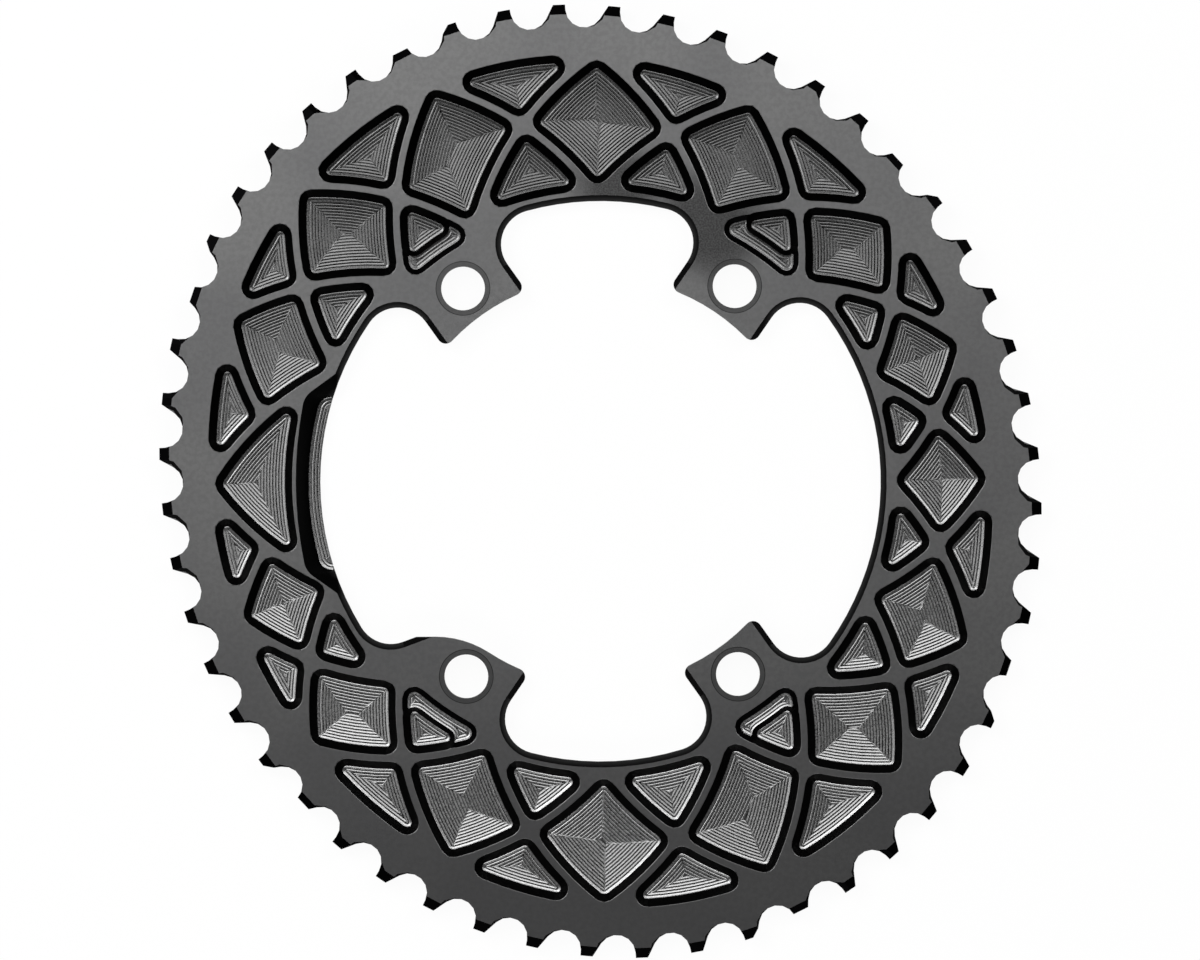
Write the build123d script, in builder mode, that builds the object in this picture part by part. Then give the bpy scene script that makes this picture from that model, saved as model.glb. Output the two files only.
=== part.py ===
from build123d import *
from math import cos, degrees, hypot, pi, radians, sin, sqrt, tan
import os

# An oval 52-tooth outer chainring, lying flat: back face on z = 0, front face up,
# origin on the axis of the bolt circle, +X and +Y along the sides of the bolt rectangle.
# Lengths are in millimetres and angles in degrees, anticlockwise from +X.

# Chain and pitch oval
TEETH = 52
CHAIN_PITCH = 12.7
OVALITY = 1.105  # long axis of the pitch oval over its short axis
OVAL_TILT = 108.45  # direction of the long axis
TOOTH_SHIFT = 0.78  # how far the last tooth's middle lies clockwise of the long axis's end

# Tooth form
SEAT_R = 4.35
SEAT_LIFT = 0.45  # centre of the roller seat outside the pitch oval
DRIVE_LEAN = 6.0  # lean of a tooth's clockwise flank
SLACK_LEAN = 32.0  # lean of its anticlockwise flank
TIP = 1.42  # tip outside the pitch oval
TOOTH_THICK = 2.1
FRONT_BEVEL = 2.3  # how far the front bevel reaches down from the tip
FRONT_BEVEL_DEPTH = 0.65
BACK_BEVEL = 1.1
BACK_BEVEL_DEPTH = 0.45
SCALLOP_R = 4.75  # round the seat, where the slack flank is eased at the front
SCALLOP_ASIDE = 0.5
SCALLOP_LIFT = 0.4
SCALLOP_DEPTH = 0.9
SEAT_FLATS = 6  # the seat and the scallop are turned in short flats
SCALLOP_FLATS = 5
SCALLOP_FROM = -100.0
SCALLOP_TO = 60.0

# Shift gates: the same marks on both halves of the ring
HALF = TEETH // 2
GATE_TEETH = (0, 6, 16)  # the low tooth of each gate
LOW_TIP = -0.15
LOW_BEVEL_START = -1.85
LOW_BEVEL_DEPTH = 0.65
CLIP_LEAN = 50.0  # clipped corner of the tooth before each low one
CLIP_FOOT = -0.4  # where the clip leaves the slack flank
FACET_ASIDE = 0.9  # corner facet of the two teeth after each low one
FACET_TURN = 36.0
FACET_REACH = 2.4
FACET_DEPTH = 0.9
WIDE_TEETH = (8, 9, 10, 11)
WIDE_SCALLOP_R = 5.15
WIDE_SCALLOP_ASIDE = 0.9
WIDE_SCALLOP_LIFT = 0.6

# Plate
THICKNESS = 4.6
STEP_AT = 5.8  # top of the back step, inside the pitch oval
STEP_RUN = 1.0

# Bolts, opening and tabs
BOLT_CIRCLE = 110.0
BOLT_SPREAD = 35.0  # each bolt is this far from the Y axis
BOLT_HOLE = 10.2
REGISTER_IN = 7.5  # tabs' ends inside the bolt circle
VALLEY_OUT = 10.15  # valleys' floors outside the bolt circle
VALLEY_ROUND = 0.453  # radius in a valley's corner over the valley's depth
VALLEY_BEVEL = 1.3
TAB_TIP_R = 2.0
# width and lean of each tab's clockwise side, then width and lean of the other
TABS = (
    (90 - BOLT_SPREAD, 11.22, 0.0, 12.26, 0.0),
    (90 + BOLT_SPREAD, 11.69, 0.0, 11.57, 0.0),
    (270 - BOLT_SPREAD, 10.2, 35.0, 11.68, 0.0),
    (270 + BOLT_SPREAD, 10.23, 0.0, 10.87, 0.0),
)
NOSE_FROM = 236.8  # where the leaning tab's edge leaves the register
NOSE = ((1.617, 228.26), (5.145, 222.845), (8.53, 219.713))  # out from it, and direction

# Lattice of pockets
RIM_LONG = 10.25  # pocket zone inside the pitch oval, at its long axis
RIM_SHORT = 9.8  # and at its short axis
POCKET_OUT = 2.2  # pocket zone outside the opening
RIB = 1.35
RIB_R = 67.5
RIB_NODE = 9.73  # where two ribs meet at the rim, inside the pitch oval
POCKET_DEPTH = 2.8
POCKET_WALL = 2.1  # width of the sloping wall, seen from the front
POCKET_CORNER_R = 2.9
CORNER_TURN = 30.0  # each rounded corner is turned in flats of about this angle
# for half the ring: direction of each rib node at the rim, direction of its partner at the
# opening, and how far that one lies inside the pocket zone
NODES = (
    (0.0, -0.35, 0.75),
    (20.5, 20.65, 0.75),
    (41.7, 44.0, 2.15),
    (67.45, 66.9, 2.15),
    (89.95, 90.3, 1.05),
    (112.95, 116.1, 2.15),
    (135.4, 134.0, 2.15),
    (155.7, 156.55, 0.75),
)

# Shallow bays beside the bolts
BAY_NODES = (2, 5, 10, 13)  # each lies between this node and the next
BAY_IN = 3.85  # inside the pocket zone
BAY_DEPTH = 0.9
BAY_WALL = 1.65

# Relief for the crank arm, on the -X side, and the pocket behind it
KEY_NODE = 8
KEY_POCKET_OUT = 4.15  # outside the pocket zone's inner edge
RELIEF_OUT = 2.5  # ledge outside the opening
RELIEF_HALF = 19.9
RELIEF_DEPTH = 3.2
RELIEF_WALL = 3.1
RELIEF_CORNER_R = 3.0
RELIEF_MOUTH = (10.65, 8.7)  # brim's end from the ledge's bow and side
RELIEF_BEND = (-0.9, 0.4)  # and its bend
RELIEF_BEND_R = 5.0

# Shift pins and their ramps on the back
PIN_IN = 8.8  # inside the pitch oval
PIN_ASIDE = 2.0  # clockwise of the low tooth's middle
PIN_DIAMETER = 4.0
PIN_LONG = 2.6
PIN_FLATS = 14  # the round pins are turned in flats
RAMP_IN = 11.2
RAMP_DEPTH = 1.15
RAMP_START = 8.0  # anticlockwise of the low tooth's middle
RAMP_FLAT = 1.0
RAMP_END = 5.5

PITCH_R = CHAIN_PITCH / (2 * sin(pi / TEETH))
FLATNESS = ((OVALITY - 1) / (OVALITY + 1)) ** 2
ROUNDNESS = 1 + 3 * FLATNESS / (10 + sqrt(4 - 3 * FLATNESS))
PITCH_SHORT = 2 * PITCH_R / ((OVALITY + 1) * ROUNDNESS)
PITCH_LONG = OVALITY * PITCH_SHORT
ARC_PITCH = 2 * pi * PITCH_R / TEETH
TOOTH_BACK = THICKNESS - TOOTH_THICK
REGISTER_R = BOLT_CIRCLE / 2 - REGISTER_IN
OPENING_R = BOLT_CIRCLE / 2 + VALLEY_OUT
VALLEY_R = VALLEY_ROUND * (OPENING_R - REGISTER_R)
POCKET_INNER_R = OPENING_R + POCKET_OUT
RELIEF_R = OPENING_R + RELIEF_OUT
CLEAR = 5.0  # how far cutting shapes run on past the faces they cut


def polar(radius, angle):
    return Vector(radius * cos(radians(angle)), radius * sin(radians(angle)))


def on_oval(inset_long, inset_short, angle):
    """Point in a direction on the pitch oval drawn in by the two insets."""
    turn = radians(angle - OVAL_TILT)
    long_part = cos(turn) / (PITCH_LONG - inset_long)
    short_part = sin(turn) / (PITCH_SHORT - inset_short)
    return polar(1 / hypot(long_part, short_part), angle)


with BuildLine() as pitch_line:
    EllipticalCenterArc((0, 0), PITCH_LONG, PITCH_SHORT, arc_size=360, rotation=OVAL_TILT)
pitch_oval = pitch_line.edge()


def on_pitch(tooth, height=0.0):
    """Plane on the pitch oval at a tooth's middle, x clockwise and y outward."""
    share = ((tooth + 1) * ARC_PITCH - TOOTH_SHIFT) / (TEETH * ARC_PITCH) % 1
    middle = pitch_oval @ share
    return Plane(middle + Vector(0, 0, height), x_dir=-(pitch_oval % share), z_dir=(0, 0, 1))


def each_tooth_face(reach, height):
    """Many-sided face with one side across each tooth, this far out at its middle."""
    corners = []
    for tooth in range(TEETH):
        here, there = on_pitch(tooth), on_pitch(tooth + 1)
        gap_over = (there.origin - here.origin).dot(there.y_dir) + reach
        run = (gap_over - reach * here.y_dir.dot(there.y_dir)) / here.x_dir.dot(there.y_dir)
        corners.append(here.origin + reach * here.y_dir + run * here.x_dir)
    with BuildSketch(Plane.XY.offset(height)) as face:
        Polygon(*corners, align=None)
    return face.sketch.face()


def across(tooth, inset, height):
    """Upright plane across the radius at a tooth, x clockwise and y up."""
    flat = on_pitch(tooth, height)
    return Plane(flat.origin - inset * flat.y_dir, x_dir=flat.x_dir, z_dir=-flat.y_dir)


def along(tooth, height):
    """Upright plane through a tooth's middle, x outward and y up."""
    flat = on_pitch(tooth, height)
    return Plane(flat.origin, x_dir=flat.y_dir, z_dir=-flat.x_dir)


def flat_sided(sections):
    """Loft between many-sided sections, each of its flat sides a plane."""
    rough = loft(sections=sections, ruled=True, mode=Mode.PRIVATE)
    sides = []
    for side in rough.faces():
        sides.append(Face(side.outer_wire()) if side.is_planar else side)
    return Solid(Shell(sides))


def both_halves(teeth):
    return [tooth + half for half in (0, HALF) for tooth in teeth]


low_teeth = both_halves(GATE_TEETH)
clipped = [(tooth - 1) % TEETH for tooth in low_teeth]
facet_teeth = [tooth + step for tooth in low_teeth for step in (1, 2)]
wide_teeth = both_halves(WIDE_TEETH)


def scallop_face(radius, aside, lift, depth):
    """One level of the scallop that eases the slack flank beside a roller seat."""
    with BuildSketch(Plane.XY.offset(-depth)) as face:
        middle = Vector(aside, SEAT_LIFT + lift)
        step = (SCALLOP_TO - SCALLOP_FROM) / SCALLOP_FLATS
        turns = [SCALLOP_FROM + step * i for i in range(SCALLOP_FLATS + 1)]
        rim = [middle + polar(radius - depth, angle) for angle in turns]
        Polygon(middle, *rim, align=None)
    return face.sketch.face()


def scallop(radius, aside, lift):
    levels = [scallop_face(radius, aside, lift, depth) for depth in (0, SCALLOP_DEPTH)]
    add(flat_sided(levels))


# The gap between two teeth, with the roller seat at its foot, on z = 0 as the face
seat_middle = Vector(0, SEAT_LIFT)
seat_turn = (180 - SLACK_LEAN - DRIVE_LEAN) / SEAT_FLATS
seat_arc = [
    seat_middle + polar(SEAT_R, -SLACK_LEAN - seat_turn * i) for i in range(SEAT_FLATS + 1)
]
slack_foot, drive_foot = seat_arc[0], seat_arc[-1]
slack_top = slack_foot + CLEAR * Vector(tan(radians(SLACK_LEAN)), 1)
drive_top = drive_foot + CLEAR * Vector(-tan(radians(DRIVE_LEAN)), 1)
with BuildSketch() as gap_outline:
    Polygon(*seat_arc, drive_top, slack_top, align=None)

clip_aside = slack_foot.X + (CLIP_FOOT - slack_foot.Y) * tan(radians(SLACK_LEAN))
clip_foot = Vector(clip_aside, CLIP_FOOT)
clip_top = clip_foot + CLEAR * Vector(tan(radians(CLIP_LEAN)), 1)
with BuildSketch() as clip_outline:
    Polygon(clip_foot, clip_top, clip_top - Vector(2 * CLEAR, 0), align=None)

with BuildPart() as gap:
    extrude(gap_outline.sketch, amount=-THICKNESS)
    scallop(SCALLOP_R, SCALLOP_ASIDE, SCALLOP_LIFT)

with BuildPart() as wide_gap:
    add(gap.part)
    scallop(WIDE_SCALLOP_R, WIDE_SCALLOP_ASIDE, WIDE_SCALLOP_LIFT)

with BuildPart() as clipped_gap:
    add(gap.part)
    extrude(clip_outline.sketch, amount=-THICKNESS)

gap_kinds = (
    (clipped_gap, [tooth for tooth in range(TEETH) if (tooth - 1) % TEETH in clipped]),
    (wide_gap, [tooth for tooth in range(TEETH) if (tooth - 1) % TEETH in wide_teeth]),
    (gap, [tooth for tooth in range(TEETH) if (tooth - 1) % TEETH not in clipped + wide_teeth]),
)

# The valleys between the tabs, without the register circle
with BuildSketch() as valleys:
    Circle(OPENING_R)
    for direction, near, near_lean, far, far_lean in TABS:
        with Locations(Rotation(0, 0, direction)):
            inner = REGISTER_R / 2
            outer = OPENING_R + CLEAR
            near_in = -near + (REGISTER_R - inner) * tan(radians(near_lean))
            near_out = -near - (outer - REGISTER_R) * tan(radians(near_lean))
            far_in = far - (REGISTER_R - inner) * tan(radians(far_lean))
            far_out = far + (outer - REGISTER_R) * tan(radians(far_lean))
            tab = ((inner, near_in), (outer, near_out), (outer, far_out), (inner, far_in))
            Polygon(*tab, align=None, mode=Mode.SUBTRACT)
    corners = valleys.vertices().filter_by(lambda v: hypot(v.X, v.Y) > OPENING_R - 0.01)
    fillet(corners.filter_by(lambda v: abs(v.Y) > 1), VALLEY_R)

with BuildSketch() as opening:
    add(valleys.sketch)
    with BuildLine():
        nose_start = polar(REGISTER_R, NOSE_FROM)
        nose = [polar(REGISTER_R + out, direction) for out, direction in NOSE]
        ThreePointArc(nose_start, nose[0], nose[1])
        Polyline(nose[1], nose[2], (0, 0), nose_start)
    make_face()
    Circle(REGISTER_R)
    tips = opening.vertices().filter_by(lambda v: abs(hypot(v.X, v.Y) - REGISTER_R) < 0.01)
    fillet(tips.sort_by_distance(nose_start)[1:], TAB_TIP_R)

# Rib nodes all round
nodes = [(rim + turn, foot + turn, inside) for turn in (0, 180) for rim, foot, inside in NODES]
rim_nodes = [on_oval(RIB_NODE, RIB_NODE, rim) for rim, foot, inside in nodes]
foot_nodes = [polar(POCKET_INNER_R - inside, foot) for rim, foot, inside in nodes]
COUNT = len(nodes)


def pocket_zone(inner_r):
    """Ring between the rim and a circle, in one arc from each rib node to the next."""
    with BuildLine() as rim:
        for k in range(COUNT):
            start = nodes[k][0]
            end = nodes[(k + 1) % COUNT][0] % 360 or 360
            middle = (start + end) / 2
            points = [on_oval(RIM_LONG, RIM_SHORT, angle) for angle in (start, middle, end)]
            ThreePointArc(*points)
    make_face(rim.edges())
    Circle(inner_r, mode=Mode.SUBTRACT)


def rib(k, way):
    """Curved rib from a node at the rim to the foot of the next node, either way round."""
    with BuildLine() as middle:
        RadiusArc(rim_nodes[k], foot_nodes[(k + way) % COUNT], -way * RIB_R)
    trace(middle.edges(), line_width=RIB, mode=Mode.SUBTRACT)


def sector(k, inner_r):
    """Sector from one node's foot to the next, joined to what is drawn."""
    start, end = nodes[k][1], nodes[(k + 1) % COUNT][1]
    outer_r = POCKET_INNER_R + CLEAR
    with BuildLine() as border:
        arc = CenterArc((0, 0), inner_r, start, arc_size=end - start)
        Polyline(arc @ 1, polar(outer_r, end), polar(outer_r, start), arc @ 0)
    make_face(border.edges())


def cutter_fits(face):
    """Whether a pocket is wide enough for the cutter that rounds its corners."""
    return 2 * face.area > POCKET_CORNER_R * face.outer_wire().length


with BuildSketch() as key_zone:
    pocket_zone(POCKET_INNER_R + KEY_POCKET_OUT)
    for way in (1, -1):
        rib(KEY_NODE, way)
key_pocket = key_zone.faces().sort_by(SortBy.AREA)[0]

with BuildSketch() as lattice:
    pocket_zone(POCKET_INNER_R)
    for k in BAY_NODES:
        sector(k, POCKET_INNER_R - POCKET_WALL * BAY_DEPTH / POCKET_DEPTH)
    for k in range(COUNT):
        for way in (1, -1):
            rib(k, way)
pockets = [f for f in lattice.faces() if cutter_fits(f) and f.distance_to(key_pocket) > RIB / 2]

bays = []
for k in BAY_NODES:
    with BuildSketch() as bay:
        sector(k, POCKET_INNER_R - BAY_IN)
        rib(k, 1)
        rib((k + 1) % COUNT, -1)
    bays.append(bay.faces().sort_by(SortBy.AREA)[-1])


def outline(core, growth, height):
    """A sharp-cornered core grown into a pocket's outline, its corners turned in flats."""
    grown = offset(core, amount=growth, kind=Kind.ARC).face()
    with BuildLine() as border:
        for edge in grown.outer_wire().order_edges():
            if edge.geom_type == GeomType.CIRCLE and abs(edge.radius - growth) < 0.01:
                flats = max(1, round(degrees(edge.length / growth) / CORNER_TURN))
                Polyline(*[edge @ (i / flats) for i in range(flats + 1)])
            else:
                add(edge)
    return make_face(border.edges()).face().moved(Location((0, 0, height)))


def sunk(face, depth, wall):
    """What a pocket with a sloping wall takes from the front face."""
    core = offset(face, amount=-POCKET_CORNER_R)
    top = outline(core, POCKET_CORNER_R, THICKNESS)
    floor = outline(core, POCKET_CORNER_R - wall, THICKNESS - depth)
    return flat_sided([top, floor])


def relief_face(bow, bend, mouth, corner_r, height):
    """Outline of the crank arm's relief at one level, open to the -X valley."""
    with BuildSketch(Plane.XY.offset(height)) as face:
        with BuildLine():
            upper = Vector(bend[0], bend[1])
            lower = Vector(bend[0], -bend[1])
            ThreePointArc(upper, (bow, 0), lower)
            Polyline(lower, (mouth[0], -mouth[1]), mouth, upper)
        make_face()
        fillet(face.vertices().sort_by(Axis.X)[:2], corner_r)
    return face.sketch.face()


# What the gates take from the teeth and the back
with BuildPart() as gate_cuts:
    # Low teeth of the gates
    for tooth in low_teeth:
        with BuildSketch(along(tooth, THICKNESS)):
            Polygon(
                (LOW_BEVEL_START, 0),
                (LOW_TIP, -LOW_BEVEL_DEPTH),
                (LOW_TIP, -THICKNESS),
                (LOW_TIP + CLEAR, -THICKNESS),
                (LOW_TIP + CLEAR, 1),
                (LOW_BEVEL_START, 1),
                align=None,
            )
        extrude(amount=ARC_PITCH / 2, both=True)

    # Corner facets of the two teeth after each low one
    for tooth in facet_teeth:
        flat = on_pitch(tooth, THICKNESS)
        start = flat.origin + FACET_ASIDE * flat.x_dir + (TIP - FRONT_BEVEL) * flat.y_dir
        out = sin(radians(FACET_TURN)) * flat.x_dir + cos(radians(FACET_TURN)) * flat.y_dir
        with BuildSketch(Plane(start, x_dir=out, z_dir=out.cross(Vector(0, 0, 1)))):
            Polygon((0, 0), (FACET_REACH, -FACET_DEPTH), (FACET_REACH, 1), (0, 1), align=None)
        extrude(amount=ARC_PITCH / 3, both=True)

    # Ramps on the back that lead the chain on to the low teeth, and their pins' seats
    for tooth in low_teeth:
        with BuildSketch(across(tooth, RAMP_IN, 0)):
            Polygon(
                (-RAMP_START, 0),
                (-RAMP_FLAT, RAMP_DEPTH),
                (RAMP_END, RAMP_DEPTH),
                (RAMP_END, -1),
                (-RAMP_START, -1),
                align=None,
            )
        extrude(amount=STEP_AT - RAMP_IN - STEP_RUN)

with BuildPart() as shift_pins:
    for tooth in low_teeth:
        flat = on_pitch(tooth)
        centre = flat.origin + PIN_ASIDE * flat.x_dir - PIN_IN * flat.y_dir
        with BuildSketch(Plane(centre, x_dir=flat.x_dir, z_dir=flat.z_dir)):
            RegularPolygon(PIN_DIAMETER / 2, PIN_FLATS)
        extrude(amount=PIN_LONG)

pocket_cuts = [sunk(face, POCKET_DEPTH, POCKET_WALL) for face in [*pockets, key_pocket]]
pocket_cuts += [sunk(face, BAY_DEPTH, BAY_WALL) for face in bays]

with BuildPart() as chainring:
    step_levels = ((-STEP_AT - STEP_RUN, 0), (-STEP_AT, TOOTH_BACK))
    add(flat_sided([each_tooth_face(reach, height) for reach, height in step_levels]))
    tooth_levels = (
        (TIP - BACK_BEVEL, TOOTH_BACK),
        (TIP, TOOTH_BACK + BACK_BEVEL_DEPTH),
        (TIP, THICKNESS - FRONT_BEVEL_DEPTH),
        (TIP - FRONT_BEVEL, THICKNESS),
    )
    add(flat_sided([each_tooth_face(reach, height) for reach, height in tooth_levels]))

    # Central opening, its bevel and the bolt holes
    extrude(opening.sketch, amount=THICKNESS, mode=Mode.SUBTRACT)
    bevel_top = offset(valleys.sketch, amount=VALLEY_BEVEL).face()
    bevel_top.locate(Location((0, 0, THICKNESS)))
    bevel_foot = valleys.sketch.face().moved(Location((0, 0, THICKNESS - VALLEY_BEVEL)))
    loft(sections=[bevel_top, bevel_foot], ruled=True, mode=Mode.SUBTRACT)
    with Locations([polar(BOLT_CIRCLE / 2, tab[0]) + Vector(0, 0, THICKNESS) for tab in TABS]):
        Hole(BOLT_HOLE / 2)

    # Crank arm relief
    ledge_bend = (-sqrt(RELIEF_R**2 - RELIEF_HALF**2), RELIEF_HALF)
    ledge_mouth = (-RELIEF_R + RELIEF_MOUTH[0], RELIEF_HALF)
    ledge_z = THICKNESS - RELIEF_DEPTH
    ledge = relief_face(-RELIEF_R, ledge_bend, ledge_mouth, RELIEF_CORNER_R, ledge_z)
    brim_bow = -RELIEF_R - RELIEF_WALL
    brim_bend = (-RELIEF_R + RELIEF_BEND[0], RELIEF_HALF + RELIEF_BEND[1])
    brim_mouth = (-RELIEF_R + RELIEF_MOUTH[0], RELIEF_HALF + RELIEF_MOUTH[1])
    brim = relief_face(brim_bow, brim_bend, brim_mouth, RELIEF_BEND_R, THICKNESS)
    loft(sections=[brim, ledge], ruled=True, mode=Mode.SUBTRACT)

    # Pockets
    add(pocket_cuts, mode=Mode.SUBTRACT, clean=False)

    # Gap clockwise of each tooth, so that its slack flank is the next tooth's
    for kind, teeth in gap_kinds:
        with Locations(*[on_pitch(tooth - 0.5, THICKNESS) for tooth in teeth]):
            add(kind.part, mode=Mode.SUBTRACT, clean=False)

    add(gate_cuts.part, mode=Mode.SUBTRACT, clean=False)
    add(shift_pins.part, mode=Mode.SUBTRACT, clean=False)

chainring.part.label = "chainring"
shift_pins.part.label = "shift_pins"
os.makedirs("parts", exist_ok=True)
export_step(chainring.part, "parts/chainring.step")
export_step(shift_pins.part, "parts/shift_pins.step")
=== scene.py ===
import math

import bmesh
import bpy
import numpy as np
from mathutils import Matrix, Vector


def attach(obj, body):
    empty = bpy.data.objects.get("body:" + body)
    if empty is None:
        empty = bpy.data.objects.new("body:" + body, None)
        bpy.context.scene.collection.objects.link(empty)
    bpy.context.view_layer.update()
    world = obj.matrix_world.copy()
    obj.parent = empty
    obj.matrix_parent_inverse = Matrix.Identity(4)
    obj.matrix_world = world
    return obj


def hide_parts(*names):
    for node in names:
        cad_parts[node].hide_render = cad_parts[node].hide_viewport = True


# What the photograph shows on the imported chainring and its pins: the milled floors of the
# pockets, the fine broken edges round them, the true form of the six low teeth, and the
# materials, camera and lamps. Lengths are in metres.
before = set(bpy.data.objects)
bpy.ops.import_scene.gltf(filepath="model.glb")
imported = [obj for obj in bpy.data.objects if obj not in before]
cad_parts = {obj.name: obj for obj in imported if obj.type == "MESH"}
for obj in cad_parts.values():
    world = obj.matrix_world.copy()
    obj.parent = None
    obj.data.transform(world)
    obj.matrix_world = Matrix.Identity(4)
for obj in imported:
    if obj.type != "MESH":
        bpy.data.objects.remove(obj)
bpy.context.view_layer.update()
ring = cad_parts["chainring"]
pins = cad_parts["shift_pins"]

FACE_Z = 0.0046
POCKET_DEPTH = 0.0028
BAY_DEPTH = 0.0009
LEDGE_DEPTH = 0.0032
OPENING_R = 0.06515
SAME_HEIGHT = 2e-6

# ---------------------------------------------------------------- camera
# The photograph looks straight down; its middle lies a little beside the ring's axis.
PHOTO_WIDTH, PHOTO_HEIGHT = 1200, 960
AXIS_PX = (600.48, 481.25)
PX_PER_M = 4307.3
ROLL = math.radians(0.49)
DISTANCE = 2.6
SENSOR_WIDTH = 36.0

camera_data = bpy.data.cameras.new("camera")
camera_data.sensor_width = SENSOR_WIDTH
camera_data.lens = SENSOR_WIDTH * (DISTANCE - FACE_Z) / (PHOTO_WIDTH / PX_PER_M)
camera_data.clip_end = 20.0
camera = bpy.data.objects.new("camera", camera_data)
bpy.context.scene.collection.objects.link(camera)
shift_x = (PHOTO_WIDTH / 2 - AXIS_PX[0]) / PX_PER_M
shift_y = (AXIS_PX[1] - PHOTO_HEIGHT / 2) / PX_PER_M
camera.location = (
    math.cos(ROLL) * shift_x + math.sin(ROLL) * shift_y,
    -math.sin(ROLL) * shift_x + math.cos(ROLL) * shift_y,
    DISTANCE,
)
camera.rotation_euler = (0.0, 0.0, -ROLL)
bpy.context.scene.camera = camera
bpy.context.scene.view_settings.view_transform = "Standard"


# ---------------------------------------------------------------- node helpers
def material(name):
    made = bpy.data.materials.new(name)
    made.use_nodes = True
    tree = made.node_tree
    tree.nodes.clear()
    out = tree.nodes.new("ShaderNodeOutputMaterial")
    shader = tree.nodes.new("ShaderNodeBsdfPrincipled")
    tree.links.new(shader.outputs[0], out.inputs[0])
    return made, tree, shader, out


def node(tree, kind, **settings):
    made = tree.nodes.new(kind)
    for key, value in settings.items():
        setattr(made, key, value)
    return made


def maths(tree, operation, a, b=None):
    made = node(tree, "ShaderNodeMath", operation=operation)
    for socket, value in zip(made.inputs, (a, b)):
        if value is None:
            continue
        if isinstance(value, (int, float)):
            socket.default_value = value
        else:
            tree.links.new(value, socket)
    return made.outputs[0]


def ranged(tree, value, low, high, to_low=0.0, to_high=1.0):
    """Smooth step from to_low to to_high as the value goes from low to high."""
    made = node(tree, "ShaderNodeMapRange", interpolation_type="SMOOTHSTEP")
    tree.links.new(value, made.inputs[0])
    for index, number in enumerate((low, high, to_low, to_high), 1):
        made.inputs[index].default_value = number
    return made.outputs[0]


def grey(level):
    return (level, level, level)


def mixed(tree, share, a, b):
    """Colour a, turning to colour b as the share goes from 0 to 1."""
    made = node(tree, "ShaderNodeMix", data_type="RGBA")
    for socket, value in zip((made.inputs[0], made.inputs[6], made.inputs[7]), (share, a, b)):
        if isinstance(value, tuple):
            socket.default_value = (*value, 1.0)
        else:
            tree.links.new(value, socket)
    return made.outputs[2]


def object_place(tree):
    """The point on the object, and its x, y and z."""
    place = node(tree, "ShaderNodeTexCoord").outputs["Object"]
    split = node(tree, "ShaderNodeSeparateXYZ")
    tree.links.new(place, split.inputs[0])
    return place, split.outputs


def levelness(tree):
    """1 where the mesh is level, 0 where it is upright."""
    split = node(tree, "ShaderNodeSeparateXYZ")
    tree.links.new(node(tree, "ShaderNodeNewGeometry").outputs["True Normal"], split.inputs[0])
    return maths(tree, "ABSOLUTE", split.outputs[2])


def noise(tree, vector, scale, detail):
    made = node(tree, "ShaderNodeTexNoise")
    made.inputs["Scale"].default_value = scale
    made.inputs["Detail"].default_value = detail
    made.inputs["Roughness"].default_value = 0.55
    tree.links.new(vector, made.inputs["Vector"])
    return made.outputs[0]


def bump(tree, height, strength, distance, shader):
    made = node(tree, "ShaderNodeBump")
    made.inputs["Strength"].default_value = strength
    made.inputs["Distance"].default_value = distance
    tree.links.new(height, made.inputs["Height"])
    tree.links.new(made.outputs[0], shader.inputs["Normal"])


# ---------------------------------------------------------------- ring material
# Satin black anodised face; every slope cut into it is coloured nearly black, which is painted
# shade
IS_FACE = (0.975, 0.995)
# Range of y over which shade is painted onto the face
PAINTED_SHADE_FROM, PAINTED_SHADE_TO = -0.1, 0.0
# Handled patches: the neck of one tab, and the opening's edge beside it
PATCHES = ((0.0262, 0.0590, FACE_Z), (0.0040, 0.0672, FACE_Z))
PATCH_EDGE = (0.005, 0.016)
PATCH_WAVER = 0.003
SECOND_SMALLER = 0.002
FRONT_ONLY = (0.0040, 0.0044)
# Seat that the bolt heads press round each hole, and its dark outline
BOLT_X, BOLT_Y = 0.031547, 0.045053
SEAT_EDGE = (0.00625, 0.00640)
SEAT_LINE = (0.00612, 0.00625)

ring_material, tree, shader, out = material("satin_anodised")
place, along = object_place(tree)
is_face = ranged(tree, levelness(tree), *IS_FACE)
grain = noise(tree, place, 900.0, 4.0)
cloud = noise(tree, place, 28.0, 2.0)
face = mixed(tree, ranged(tree, cloud, 0.3, 0.7), (0.128, 0.128, 0.130), grey(0.150))
face = mixed(tree, ranged(tree, grain, 0.35, 0.65, 0.0, 0.3), face, grey(0.09))

# Painted shade: the face darkens towards the end at negative y
painted_shade_share = ranged(tree, along[1], PAINTED_SHADE_FROM, PAINTED_SHADE_TO, 0.55, 0.0)
face = mixed(tree, painted_shade_share, face, (0.055, 0.055, 0.056))

reaches = []
for centre in PATCHES:
    apart = node(tree, "ShaderNodeVectorMath", operation="DISTANCE")
    tree.links.new(place, apart.inputs[0])
    apart.inputs[1].default_value = centre
    reaches.append(apart.outputs[1])
reaches[1] = maths(tree, "ADD", reaches[1], SECOND_SMALLER)
waver = ranged(tree, cloud, 0.3, 0.7, -PATCH_WAVER, PATCH_WAVER)
from_patch = maths(tree, "ADD", maths(tree, "MINIMUM", *reaches), waver)
speck = ranged(tree, noise(tree, place, 2600.0, 2.0), 0.3, 0.7, 0.65, 1.0)
worn = maths(tree, "MULTIPLY", ranged(tree, from_patch, *PATCH_EDGE, 1.0, 0.0), speck)
worn = maths(tree, "MULTIPLY", worn, ranged(tree, along[2], *FRONT_ONLY, 0.0, 0.9))
face = mixed(tree, worn, face, grey(0.026))

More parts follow.
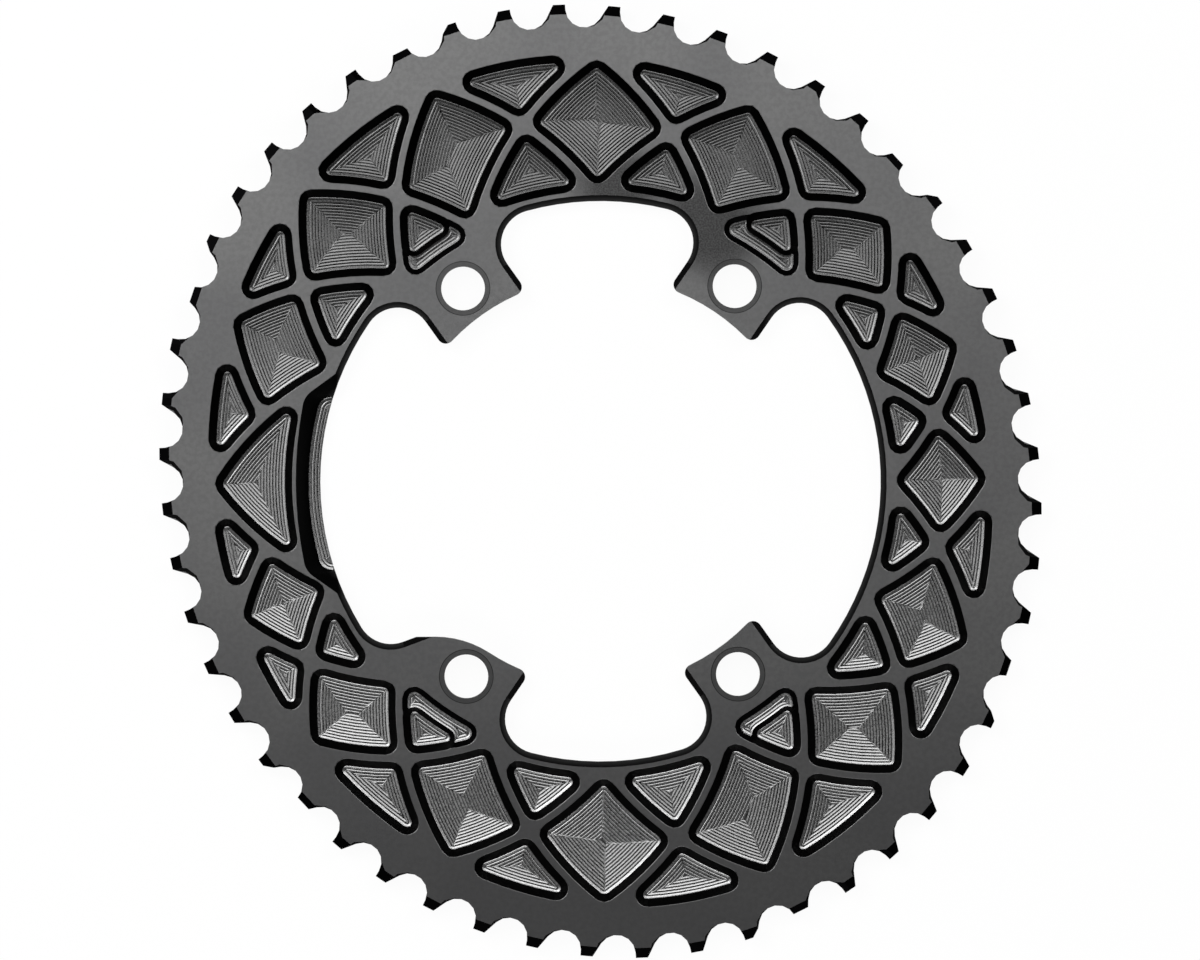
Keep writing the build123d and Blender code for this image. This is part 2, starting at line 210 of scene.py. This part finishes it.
aside = maths(tree, "SUBTRACT", maths(tree, "ABSOLUTE", along[0]), BOLT_X)
above = maths(tree, "SUBTRACT", maths(tree, "ABSOLUTE", along[1]), BOLT_Y)
squares = [maths(tree, "MULTIPLY", side, side) for side in (aside, above)]
from_bolt = maths(tree, "SQRT", maths(tree, "ADD", *squares))
seat = ranged(tree, from_bolt, *SEAT_EDGE, 1.0, 0.0)
line = maths(tree, "MULTIPLY", ranged(tree, from_bolt, *SEAT_LINE), seat)
face = mixed(tree, maths(tree, "MULTIPLY", seat, 0.6), face, grey(0.04))
face = mixed(tree, maths(tree, "MULTIPLY", line, 0.9), face, grey(0.010))

# Painted shade: slopes get a nearly black colour instead of the face's colour
ring_colour = mixed(tree, is_face, (0.0015, 0.0015, 0.0016), face)
tree.links.new(ring_colour, shader.inputs["Base Color"])
shader.inputs["Metallic"].default_value = 1.0
tree.links.new(ranged(tree, is_face, 0.0, 1.0, 0.46, 0.42), shader.inputs["Roughness"])
bump(tree, grain, 0.08, 0.0002, shader)
ring.data.materials.clear()
ring.data.materials.append(ring_material)

# ---------------------------------------------------------------- other materials
pin_material, tree, shader, out = material("turned_steel")
grain = noise(tree, object_place(tree)[0], 1400.0, 4.0)
pin_colour = mixed(tree, grain, (0.42, 0.42, 0.43), grey(0.62))
tree.links.new(pin_colour, shader.inputs["Base Color"])
shader.inputs["Metallic"].default_value = 1.0
shader.inputs["Roughness"].default_value = 0.28
bump(tree, grain, 0.1, 0.0001, shader)
pins.data.materials.clear()
pins.data.materials.append(pin_material)

# Milled floors, with painted light: dull at one end of the ring and lighter towards the other,
# at negative y
PAINTED_LIGHT_FROM, PAINTED_LIGHT_TO = 0.08, -0.08
# Steepness over which the notch is painted black as shade
NOTCH_PAINTED_SHADE = (0.84, 0.90)

floor_material, tree, shader, out = material("milled_floor")
place, along = object_place(tree)
grain = noise(tree, place, 2500.0, 3.0)
cloud = noise(tree, place, 60.0, 2.0)
dull = mixed(tree, ranged(tree, cloud, 0.3, 0.7), grey(0.105), grey(0.14))
# Painted light: the floors turn lighter towards negative y
tone_with_painted_light_and_shade = mixed(tree, ranged(tree, along[1], PAINTED_LIGHT_FROM, PAINTED_LIGHT_TO), dull, grey(0.39))
# Painted shade: the steep notch between two passes is coloured black
tone_with_painted_light_and_shade = mixed(tree, ranged(tree, levelness(tree), *NOTCH_PAINTED_SHADE), grey(0.004), tone_with_painted_light_and_shade)
tree.links.new(tone_with_painted_light_and_shade, shader.inputs["Base Color"])
shader.inputs["Metallic"].default_value = 1.0
tree.links.new(ranged(tree, grain, 0.3, 0.7, 0.24, 0.34), shader.inputs["Roughness"])

rim_material, tree, shader, out = material("rim_edge")
grain = noise(tree, object_place(tree)[0], 700.0, 3.0)
rim_colour = mixed(tree, grain, grey(0.09), grey(0.16))
tree.links.new(rim_colour, shader.inputs["Base Color"])
shader.inputs["Metallic"].default_value = 1.0
shader.inputs["Roughness"].default_value = 0.35

# ---------------------------------------------------------------- low teeth
# The CAD cuts its six low teeth flat at one height and leaves them at full length. The real
# ones are shorter, with a bevel at the front.
CUT_Z = FACE_Z - 0.001
LOW_CUT = 0.00157
BEVEL_RUN = 0.0017
BEVEL_DROP = 0.00065
TOOTH_SPAN = 0.0045
SAME_TOOTH = 0.012


def teeth_cut_flat(mesh):
    """The vertices at the height of the flat cut, one list for each tooth."""
    teeth = []
    for vert in mesh.verts:
        if abs(vert.co.z - CUT_Z) > SAME_HEIGHT:
            continue
        near = [tooth for tooth in teeth if (tooth[0].co - vert.co).length < SAME_TOOTH]
        if near:
            near[0].append(vert)
        else:
            teeth.append([vert])
    return teeth


def shorten(mesh, tooth):
    """Turns one tooth's flat cut into a bevel and ends the tooth at its real tip."""
    tip_a, tip_b = [v.co.copy() for v in sorted(tooth, key=lambda v: -v.co.xy.length)[:2]]
    across = (tip_b - tip_a).normalized()
    outward = Vector((across.y, -across.x, 0.0))
    if outward.dot(tip_a) < 0:
        outward.negate()
    middle = (tip_a + tip_b) / 2
    new_tip = middle - outward * LOW_CUT
    for vert in tooth:
        beyond_tip = (vert.co - new_tip).dot(outward)
        vert.co.z = FACE_Z - BEVEL_DROP * max(0.0, 1 + beyond_tip / BEVEL_RUN)
    faces = [f for f in mesh.faces if (f.calc_center_median() - middle).xy.length < TOOTH_SPAN]
    verts = list(dict.fromkeys(v for f in faces for v in f.verts))
    edges = list(dict.fromkeys(e for f in faces for e in f.edges))
    cut = bmesh.ops.bisect_plane(
        mesh, geom=verts + edges + faces, plane_co=new_tip, plane_no=outward, clear_outer=True,
    )
    rim = [part for part in cut["geom_cut"] if isinstance(part, bmesh.types.BMEdge)]
    bmesh.ops.contextual_create(mesh, geom=rim)


ring_body = bpy.data.objects.new("ring_body", ring.data.copy())
bpy.context.scene.collection.objects.link(ring_body)
work = bmesh.new()
work.from_mesh(ring_body.data)
bmesh.ops.remove_doubles(work, verts=work.verts, dist=1e-6)
for tooth in teeth_cut_flat(work):
    shorten(work, tooth)
bmesh.ops.recalc_face_normals(work, faces=work.faces)
work.to_mesh(ring_body.data)
work.free()
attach(ring_body, "root")
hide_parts("chainring")


# ---------------------------------------------------------------- outlines of level faces
def level_loops(height):
    """Outlines of the ring's level faces at one height, with the face on the left.

    Each comes with a mark for every side, which says whether the wall beyond it rises.
    """
    mesh = ring.data
    points = np.zeros(len(mesh.vertices) * 3)
    mesh.vertices.foreach_get("co", points)
    points = points.reshape(-1, 3)
    keys, merged = {}, np.zeros(len(points), int)
    for index, point in enumerate(points):
        merged[index] = keys.setdefault(tuple(np.round(point, 6)), len(keys))
    places = np.array(sorted(keys, key=keys.get))
    mesh.calc_loop_triangles()
    edges, beyond = set(), {}
    for triangle in mesh.loop_triangles:
        corners = [merged[i] for i in triangle.vertices]
        heights = [places[i][2] - height for i in corners]
        is_level = triangle.normal.z > 0.99 and max(map(abs, heights)) < SAME_HEIGHT
        for a, b in zip(corners, corners[1:] + corners[:1]):
            if is_level:
                edges.add((a, b))
            else:
                beyond[b, a] = sum(heights) > 0
    after = {a: b for a, b in sorted(edges) if (b, a) not in edges}
    loops = []
    while after:
        here = next(iter(after))
        loop = []
        while here in after:
            loop.append(here)
            here = after.pop(here)
        rising = [beyond.get(side, True) for side in zip(loop, loop[1:] + loop[:1])]
        loops.append((places[loop][:, :2], rising))
    return loops


def area(loop):
    x, y = loop[:, 0], loop[:, 1]
    return 0.5 * float(np.dot(x, np.roll(y, -1)) - np.dot(y, np.roll(x, -1)))


def resampled(loop, marks, step):
    """Points along a closed outline, each with the inward normal and the mark of its side."""
    points, normals, marked = [], [], []
    for a, b, mark in zip(loop, np.roll(loop, -1, axis=0), marks):
        side = b - a
        length = np.hypot(*side)
        if length < 1e-7:
            continue
        count = max(2, int(round(length / step)))
        for share in (np.arange(count) + 0.5) / count:
            points.append(a + side * share)
            normals.append(np.array((-side[1], side[0])) / length)
            marked.append(mark)
    return np.array(points), np.array(normals), np.array(marked)


def reach(points, normals):
    """How far each point can go inward before another side is as near."""
    apart = points[None, :, :] - points[:, None, :]
    ahead = (apart * normals[:, None, :]).sum(2)
    square = (apart ** 2).sum(2)
    limit = np.where(ahead > 1e-7, square / np.maximum(2 * ahead, 1e-9), 1.0)
    return limit.min(1)


def piece(name, vertices, faces, finish):
    mesh = bpy.data.meshes.new(name)
    mesh.from_pydata(vertices, [], faces)
    mesh.validate()
    made = bpy.data.objects.new(name, mesh)
    bpy.context.scene.collection.objects.link(made)
    mesh.materials.append(finish)
    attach(made, "root")


# ---------------------------------------------------------------- milled floors
SIDE_STEP = 0.00062
GROOVE = 0.00070
CUSP = 0.000055
FIRST_CUSP = 0.00009
# One pass of the cutter leaves a long slope down, a notch and a short rise: share of the
# stepover, and height as a share of the cusp
PASS = ((0.0, 0.0), (0.26, -0.5), (0.50, -0.85), (0.64, -2.7), (0.79, -0.45))
# Where the floor turns up into the wall: distance inward, height above the floor's edge
TURN = ((-0.00022, 0.00008), (-0.00009, 0.000012))
BAY_TURN = ((-0.0003, 0.00002), (-0.0001, 0.0))
# A floor's edge lies this high above the CAD's, and its middle lower by the dish
POCKET_RISE, POCKET_DISH = 0.0002, 0.00010
BAY_RISE, BAY_DISH = 0.00014, 0.00003
LEDGE_RISE = 0.0002
LEAST_FLOOR = 4e-6
LEDGE_WIDTH = 0.003
LEDGE_WIDTH_BESIDE = 0.0025
OPENING_SLACK = 0.0001


def grooved(vertices, faces, outline, limit, turn, edge_z, rise, dish, is_ring):
    """Adds one floor, stepped inward from its outline in passes of the cutter."""
    points, normals, rising = outline
    deepest = limit.max()
    steps, heights = [run for run, up in turn], [up for run, up in turn]
    line = 0
    while line * GROOVE < deepest:
        for share, height in PASS:
            steps.append((line + share) * GROOVE)
            heights.append(height * (CUSP if line else FIRST_CUSP))
        line += 1
    steps.append(line * GROOVE)
    heights.append(0.0)
    start, count = len(vertices), len(points)
    for step, height in zip(steps, heights):
        inward = np.minimum(step, limit)
        lift = np.where(step > limit, 0.0, height)
        if step < 0:
            inward = np.where(rising, inward, 0.0)
            lift = np.where(rising, lift, -rise)
        place = points + normals * inward[:, None]
        fall = dish * (1 - (1 - np.clip(inward / deepest, 0, 1)) ** 2)
        vertices.extend(np.column_stack((place, edge_z - fall + lift)).tolist())
    if not is_ring:
        skirt = np.array(vertices[-count:]) - (0.0, 0.0, rise)
        vertices.extend(skirt.tolist())
        steps.append(steps[-1])
    for j in range(len(steps) - 1):
        for i in range(count if is_ring else count - 1):
            k = (i + 1) % count
            if is_ring and limit[i] <= steps[j] and limit[k] <= steps[j]:
                continue
            a, b = start + j * count + i, start + j * count + k
            faces.append((a, b, b + count, a + count))


def milled_floors(name, depth, rise, dish, turn):
    vertices, faces = [], []
    for loop, marks in level_loops(FACE_Z - depth):
        if area(loop) < LEAST_FLOOR:
            continue
        outline = resampled(loop, marks, SIDE_STEP)
        limit = reach(*outline[:2])
        edge_z = FACE_Z - depth + rise
        grooved(vertices, faces, outline, limit, turn, edge_z, rise, dish, True)
    piece(name, vertices, faces, floor_material)


milled_floors("pocket_floors", POCKET_DEPTH, POCKET_RISE, POCKET_DISH, TURN)
milled_floors("bay_floors", BAY_DEPTH, BAY_RISE, BAY_DISH, BAY_TURN)

# The crank arm's ledge is grooved along its wall only, out to the opening
vertices, faces = [], []
for loop, marks in level_loops(FACE_Z - LEDGE_DEPTH):
    points, normals, rising = resampled(loop, marks, SIDE_STEP)
    inner = np.hypot(points[:, 0], points[:, 1]) < OPENING_R + OPENING_SLACK
    first = int(np.argmax(inner & ~np.roll(inner, -1))) + 1
    order = (np.arange(len(points)) + first) % len(points)
    order = order[~inner[order]]
    points, normals, rising = points[order], normals[order], rising[order]
    outward = (points * normals).sum(1)
    square = (points ** 2).sum(1)
    under = np.maximum(outward ** 2 - square + OPENING_R ** 2, 0)
    to_opening = np.where(under > 0, -outward - np.sqrt(under), LEDGE_WIDTH_BESIDE)
    limit = np.minimum(np.clip(to_opening, 0, LEDGE_WIDTH), reach(points, normals))
    outline = (points, normals, rising)
    edge_z = FACE_Z - LEDGE_DEPTH + LEDGE_RISE
    grooved(vertices, faces, outline, limit, TURN, edge_z, LEDGE_RISE, 0.0, False)
piece("ledge_floor", vertices, faces, floor_material)

# ---------------------------------------------------------------- broken edges of the pockets
# From the face's outline into the pocket: distance and depth of a small bevel, and of its
# foot on the wall
BREAK = ((0.0, 0.0), (0.00009, 0.00003), (0.00011, 0.00016))
BREAK_STEP = 0.0006
LEAST_MOUTH, MOST_MOUTH = 100e-6, 2000e-6

vertices, faces = [], []
for loop, marks in level_loops(FACE_Z):
    if not LEAST_MOUTH < -area(loop) < MOST_MOUTH:
        continue
    points, normals, rising = resampled(loop, marks, BREAK_STEP)
    start, count = len(vertices), len(points)
    for inward, depth in BREAK:
        place = points - normals * inward
        vertices.extend(np.column_stack((place, np.full(count, FACE_Z - depth))).tolist())
    for j in range(len(BREAK) - 1):
        for i in range(count):
            a, b = start + j * count + i, start + j * count + (i + 1) % count
            faces.append((a, a + count, b + count, b))
piece("pocket_edges", vertices, faces, rim_material)

# ---------------------------------------------------------------- floor, light and background
GROUND_SIZE = 6.0
GROUND_GAP = 0.0004
GLOW_SHARE = 0.95
WORLD_LEVEL = 0.06

bpy.ops.mesh.primitive_plane_add(size=GROUND_SIZE, location=(0, 0, -GROUND_GAP))
ground = bpy.context.object
ground.name = "ground"
ground_material, tree, shader, out = material("pale_ground")
shader.inputs["Base Color"].default_value = (0.9, 0.9, 0.9, 1.0)
shader.inputs["Roughness"].default_value = 0.9
# The ground's white glow shows to the camera and in the metal only
glow = node(tree, "ShaderNodeEmission")
glow.inputs[0].default_value = (1.0, 1.0, 1.0, 1.0)
blend = node(tree, "ShaderNodeMixShader")
rays = node(tree, "ShaderNodeLightPath").outputs
seen = maths(tree, "MAXIMUM", rays["Is Camera Ray"], rays["Is Glossy Ray"])
tree.links.new(maths(tree, "MULTIPLY", seen, GLOW_SHARE), blend.inputs[0])
tree.links.new(shader.outputs[0], blend.inputs[1])
tree.links.new(glow.outputs[0], blend.inputs[2])
tree.links.new(blend.outputs[0], out.inputs[0])
ground.data.materials.append(ground_material)

world = bpy.data.worlds.new("studio")
bpy.context.scene.world = world
world.use_nodes = True
background = world.node_tree.nodes["Background"]
background.inputs[0].default_value = (1.0, 1.0, 1.0, 1.0)
background.inputs[1].default_value = WORLD_LEVEL


def softbox(name, place, width, height, power):
    """Soft lamp aimed at the middle of the ring."""
    data = bpy.data.lights.new(name, "AREA")
    data.shape = "RECTANGLE"
    data.size, data.size_y = width, height
    data.energy = power
    lamp = bpy.data.objects.new(name, data)
    bpy.context.scene.collection.objects.link(lamp)
    lamp.location = place
    lamp.rotation_mode = "QUATERNION"
    lamp.rotation_quaternion = (-Vector(place)).to_track_quat("-Z", "Y")
    lamp.visible_camera = False


softbox("north", (-0.05, 0.25, 0.8), 0.5, 0.3, 1.5)
softbox("north_west", (-0.5, 0.4, 0.7), 0.4, 0.4, 4.0)
softbox("north_east", (0.5, 0.4, 0.7), 0.4, 0.4, 2.7)
softbox("west", (-0.6, 0.0, 0.6), 0.3, 0.6, 0.9)
softbox("south", (0.0, -0.75, 0.5), 0.8, 0.3, 3.6)
